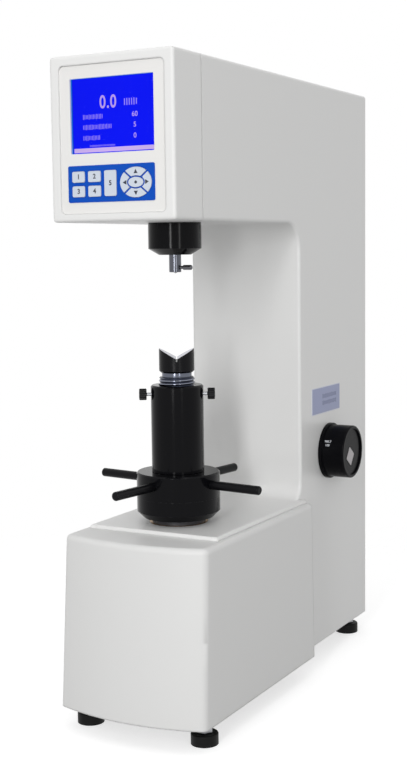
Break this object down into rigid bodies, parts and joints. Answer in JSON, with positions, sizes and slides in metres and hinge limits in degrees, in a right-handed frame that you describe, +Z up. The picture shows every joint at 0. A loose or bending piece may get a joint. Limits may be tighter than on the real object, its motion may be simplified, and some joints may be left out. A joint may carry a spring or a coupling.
{
  "type": "bench hardness tester",
  "caption": "Bench hardness tester with a C-shaped frame, display head, indenter spindle, V anvil on a hand-cranked elevating screw, load knob and weight-and-lever loading.",
  "frame": {"origin": "on the bench under the middle of the bounding box", "axes": "+Z up, +Y to the rear of the machine, +X to the operator's right"},
  "size_m": [0.2128, 0.5, 0.7],
  "materials": {
    "painted_casting": "satin ivory-white enamel over cast iron",
    "painted_cover": "satin ivory-white enamel on sheet",
    "moulded_white": "satin white moulding",
    "screen_glass": "clear pane",
    "screen_blue": "backlit blue display in a metal frame",
    "keypad_blue": "blue printed membrane",
    "key_pale": "pale satin key cap",
    "circuit": "green solder mask",
    "black_gloss": "semi-gloss black oxide and lacquer",
    "black_plastic": "semi-gloss black moulding",
    "ground_steel": "ground and polished steel",
    "machined_steel": "machined steel",
    "hard_steel": "hardened and lapped steel",
    "bronze": "turned bronze",
    "weight_iron": "turned and blackened iron",
    "zinc_steel": "zinc-plated steel",
    "rubber_black": "moulded black rubber pad on a steel stud",
    "motor_metal": "grey enamel",
    "lamination": "varnished laminations and winding"
  },
  "bodies": {
    "frame": {"frame_casting": "painted_casting", "top_cover": "painted_cover", "rear_cover": "painted_cover", "cover_screws": "zinc_steel", "head_bezel": "moulded_white", "front_panel": "moulded_white", "keypad_overlay": "keypad_blue", "lcd_window": "screen_glass", "lcd_module": "screen_blue", "control_board": "circuit", "board_standoffs": "zinc_steel", "base_housing": "moulded_white", "spindle_cover": "black_gloss", "spindle_guide": "bronze", "fulcrum_block": "machined_steel", "weight_rest": "zinc_steel", "motor_bracket": "zinc_steel", "gear_motor": "motor_metal", "thrust_bearing": "hard_steel", "screw_guide_bush": "bronze", "power_module": "black_plastic", "transformer": "lamination", "displacement_sensor": "zinc_steel"},
    "handwheel": {"handwheel_ring": "black_gloss", "handwheel_hub": "black_gloss", "handwheel_handles": "black_plastic", "elevating_nut": "bronze"},
    "screw": {"elevating_screw": "ground_steel"},
    "anvil": {"v_anvil": "black_gloss"},
    "sleeve": {"screw_sleeve": "black_gloss"},
    "thumb_right": {"thumb_screw_right": "black_plastic"},
    "thumb_left": {"thumb_screw_left": "black_plastic"},
    "spindle": {"spindle": "ground_steel", "indenter": "hard_steel"},
    "clamp": {"indenter_clamp_screw": "machined_steel"},
    "lever": {"main_lever": "machined_steel", "lever_knife_edges": "hard_steel"},
    "hanger": {"weight_hanger": "machined_steel", "weight_a": "weight_iron", "weight_b": "weight_iron", "weight_c": "weight_iron"},
    "cam": {"load_cam": "hard_steel"},
    "lifter": {"lifter_rod": "ground_steel"},
    "selector": {"load_knob": "black_plastic", "selector_shaft": "machined_steel"},
    "rocker": {"rocker": "black_plastic"},
    "key_1": {"key_1": "key_pale"},
    "key_2": {"key_2": "key_pale"},
    "key_3": {"key_3": "key_pale"},
    "key_4": {"key_4": "key_pale"},
    "key_5": {"key_5": "key_pale"},
    "key_right": {"key_right": "key_pale"},
    "key_left": {"key_left": "key_pale"},
    "key_up": {"key_up": "key_pale"},
    "key_down": {"key_down": "key_pale"},
    "key_enter": {"key_enter": "key_pale"},
    "foot_front_left": {"foot_front_left": "rubber_black"},
    "foot_front_right": {"foot_front_right": "rubber_black"},
    "foot_rear_left": {"foot_rear_left": "rubber_black"},
    "foot_rear_right": {"foot_rear_right": "rubber_black"}
  },
  "joints": [
    {"name": "handwheel_turn", "type": "hinge", "parent": "frame", "child": "handwheel", "pos_m": [0, -0.127, 0.241], "axis": [0, 0, 1], "range_deg": [0, 7971.43]},
    {"name": "screw_lift", "type": "slide", "parent": "frame", "child": "screw", "axis": [0, 0, 1], "range_m": [0, 0.0776]},
    {"name": "anvil_turn", "type": "hinge", "parent": "screw", "child": "anvil", "pos_m": [0, -0.127, 0.3762], "axis": [0, 0, 1], "continuous": true},
    {"name": "sleeve_slide", "type": "slide", "parent": "screw", "child": "sleeve", "axis": [0, 0, 1], "range_m": [0, 0.03]},
    {"name": "thumb_right_turn", "type": "hinge", "parent": "sleeve", "child": "thumb_right", "pos_m": [0.02476, -0.11288, 0.3524], "axis": [0.8686, 0.4955, 0], "range_deg": [0, 1080]},
    {"name": "thumb_left_turn", "type": "hinge", "parent": "sleeve", "child": "thumb_left", "pos_m": [-0.02476, -0.14112, 0.3524], "axis": [-0.8686, -0.4955, 0], "range_deg": [0, 1080]},
    {"name": "cam_turn", "type": "hinge", "parent": "frame", "child": "cam", "pos_m": [0, 0.205, 0.52125], "axis": [1, 0, 0], "range_deg": [0, 180.1]},
    {"name": "spindle_slide", "type": "slide", "parent": "frame", "child": "spindle", "axis": [0, 0, -1], "range_m": [0, 0.000776]},
    {"name": "lever_tilt", "type": "hinge", "parent": "frame", "child": "lever", "pos_m": [0, -0.145, 0.637], "axis": [-1, 0, 0], "range_deg": [0, 2.47]},
    {"name": "weight_drop", "type": "slide", "parent": "frame", "child": "hanger", "axis": [0, 0, -1], "range_m": [0, 0.012]},
    {"name": "lifter_drop", "type": "slide", "parent": "frame", "child": "lifter", "axis": [0, 0, -1], "range_m": [0, 0.01501]},
    {"name": "clamp_turn", "type": "hinge", "parent": "spindle", "child": "clamp", "pos_m": [0.0204, -0.127, 0.4887], "axis": [1, 0, 0], "range_deg": [0, 720]},
    {"name": "load_select", "type": "hinge", "parent": "frame", "child": "selector", "pos_m": [0.0715, 0.123, 0.2595], "axis": [1, 0, 0], "range_deg": [-120, 120]},
    {"name": "power_rock", "type": "hinge", "parent": "frame", "child": "rocker", "pos_m": [-0.03, 0.24538, 0.1275], "axis": [-1, 0, 0], "range_deg": [0, 16]},
    {"name": "key_1_press", "type": "slide", "parent": "frame", "child": "key_1", "axis": [0, 1, 0], "range_m": [0, 0.0005], "stiffness_N_per_m": 600},
    {"name": "key_2_press", "type": "slide", "parent": "frame", "child": "key_2", "axis": [0, 1, 0], "range_m": [0, 0.0005], "stiffness_N_per_m": 600},
    {"name": "key_3_press", "type": "slide", "parent": "frame", "child": "key_3", "axis": [0, 1, 0], "range_m": [0, 0.0005], "stiffness_N_per_m": 600},
    {"name": "key_4_press", "type": "slide", "parent": "frame", "child": "key_4", "axis": [0, 1, 0], "range_m": [0, 0.0005], "stiffness_N_per_m": 600},
    {"name": "key_5_press", "type": "slide", "parent": "frame", "child": "key_5", "axis": [0, 1, 0], "range_m": [0, 0.0005], "stiffness_N_per_m": 600},
    {"name": "key_right_press", "type": "slide", "parent": "frame", "child": "key_right", "axis": [0, 1, 0], "range_m": [0, 0.0005], "stiffness_N_per_m": 600},
    {"name": "key_left_press", "type": "slide", "parent": "frame", "child": "key_left", "axis": [0, 1, 0], "range_m": [0, 0.0005], "stiffness_N_per_m": 600},
    {"name": "key_up_press", "type": "slide", "parent": "frame", "child": "key_up", "axis": [0, 1, 0], "range_m": [0, 0.0005], "stiffness_N_per_m": 600},
    {"name": "key_down_press", "type": "slide", "parent": "frame", "child": "key_down", "axis": [0, 1, 0], "range_m": [0, 0.0005], "stiffness_N_per_m": 600},
    {"name": "key_enter_press", "type": "slide", "parent": "frame", "child": "key_enter", "axis": [0, 1, 0], "range_m": [0, 0.0005], "stiffness_N_per_m": 600},
    {"name": "foot_front_left_turn", "type": "hinge", "parent": "frame", "child": "foot_front_left", "pos_m": [-0.07, -0.203, 0.012], "axis": [0, 0, 1], "range_deg": [-360, 360]},
    {"name": "foot_front_right_turn", "type": "hinge", "parent": "frame", "child": "foot_front_right", "pos_m": [0.07, -0.203, 0.012], "axis": [0, 0, 1], "range_deg": [-360, 360]},
    {"name": "foot_rear_left_turn", "type": "hinge", "parent": "frame", "child": "foot_rear_left", "pos_m": [-0.052, 0.228, 0.012], "axis": [0, 0, 1], "range_deg": [-360, 360]},
    {"name": "foot_rear_right_turn", "type": "hinge", "parent": "frame", "child": "foot_rear_right", "pos_m": [0.052, 0.228, 0.012], "axis": [0, 0, 1], "range_deg": [-360, 360]}
  ],
  "couplings": [
    {"joint": "screw_lift", "follows": "handwheel_turn", "m_per_rad": 0.00055704},
    {"joint": "cam_turn", "follows": "weight_drop", "rad_per_m": 261.8},
    {"joint": "spindle_slide", "follows": "weight_drop", "ratio": 0.064286},
    {"joint": "lever_tilt", "follows": "weight_drop", "rad_per_m": 3.5725},
    {"joint": "lifter_drop", "follows": "weight_drop", "ratio": 1.25}
  ]
}
